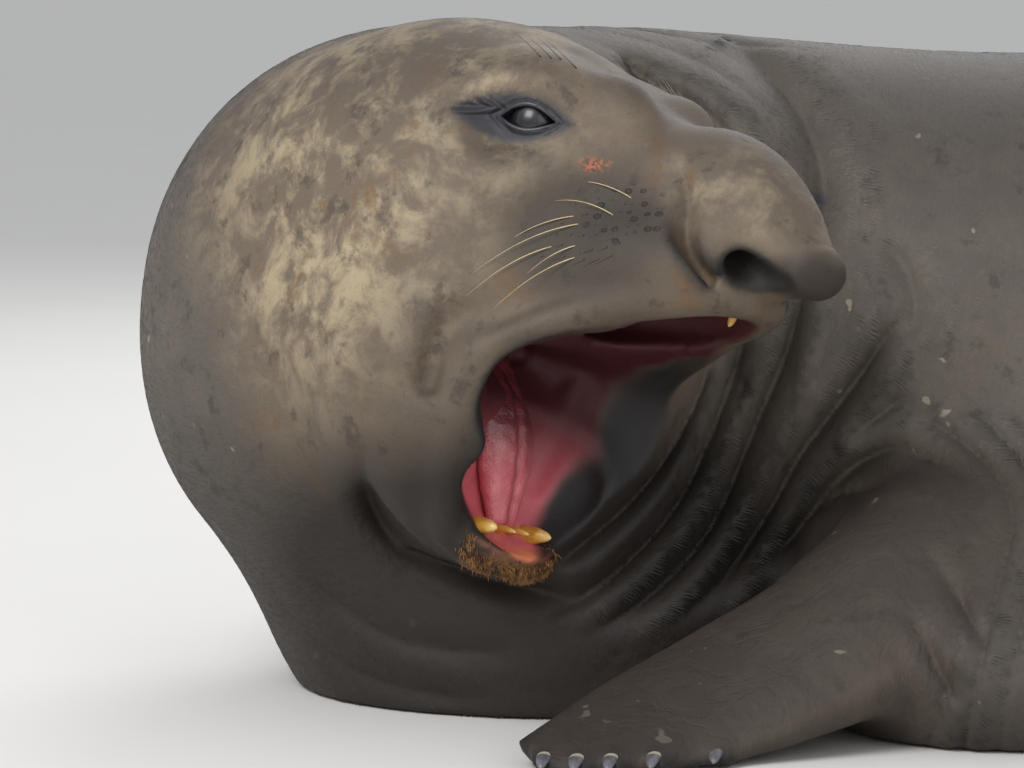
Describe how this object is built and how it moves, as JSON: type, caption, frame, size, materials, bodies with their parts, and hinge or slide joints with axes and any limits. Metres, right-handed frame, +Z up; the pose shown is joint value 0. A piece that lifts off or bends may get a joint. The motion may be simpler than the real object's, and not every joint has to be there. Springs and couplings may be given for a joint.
{
  "type": "elephant seal",
  "caption": "Life-size model of a bull elephant seal lying on the ground, head turned back over its shoulder with the mouth wide open.",
  "frame": {"origin": "on the floor under the middle of the model's outline", "axes": "+X from the neck back to the tail, +Z up, and -Y the side that the open mouth faces"},
  "size_m": [4.2354, 1.4864, 0.8001],
  "materials": {
    "hide": "short flat grey-brown hair over wrinkled skin, darker in the folds",
    "eye": "wet, nearly black eyeball",
    "tooth": "yellow stained enamel",
    "tongue": "wet pink flesh",
    "claw": "dull grey horn"
  },
  "bodies": {
    "root": {"belly": "hide", "chest": "hide", "claw_left_1": "claw", "claw_left_2": "claw", "claw_left_3": "claw", "claw_left_4": "claw", "claw_left_5": "claw", "claw_right_1": "claw", "claw_right_2": "claw", "claw_right_3": "claw", "claw_right_4": "claw", "claw_right_5": "claw", "eye_left": "eye", "eye_right": "eye", "fore_flipper_left": "hide", "fore_flipper_right": "hide", "forebody": "hide", "head": "hide", "hind_flipper_left": "hide", "hind_flipper_right": "hide", "hips": "hide", "lower_canine_left": "tooth", "lower_canine_right": "tooth", "lower_incisor_left": "tooth", "lower_incisor_right": "tooth", "lower_jaw": "hide", "neck": "hide", "snout": "hide", "tail": "hide", "tail_root": "hide", "tongue": "tongue", "upper_canine_left": "tooth", "upper_canine_right": "tooth"}
  },
  "joints": []
}
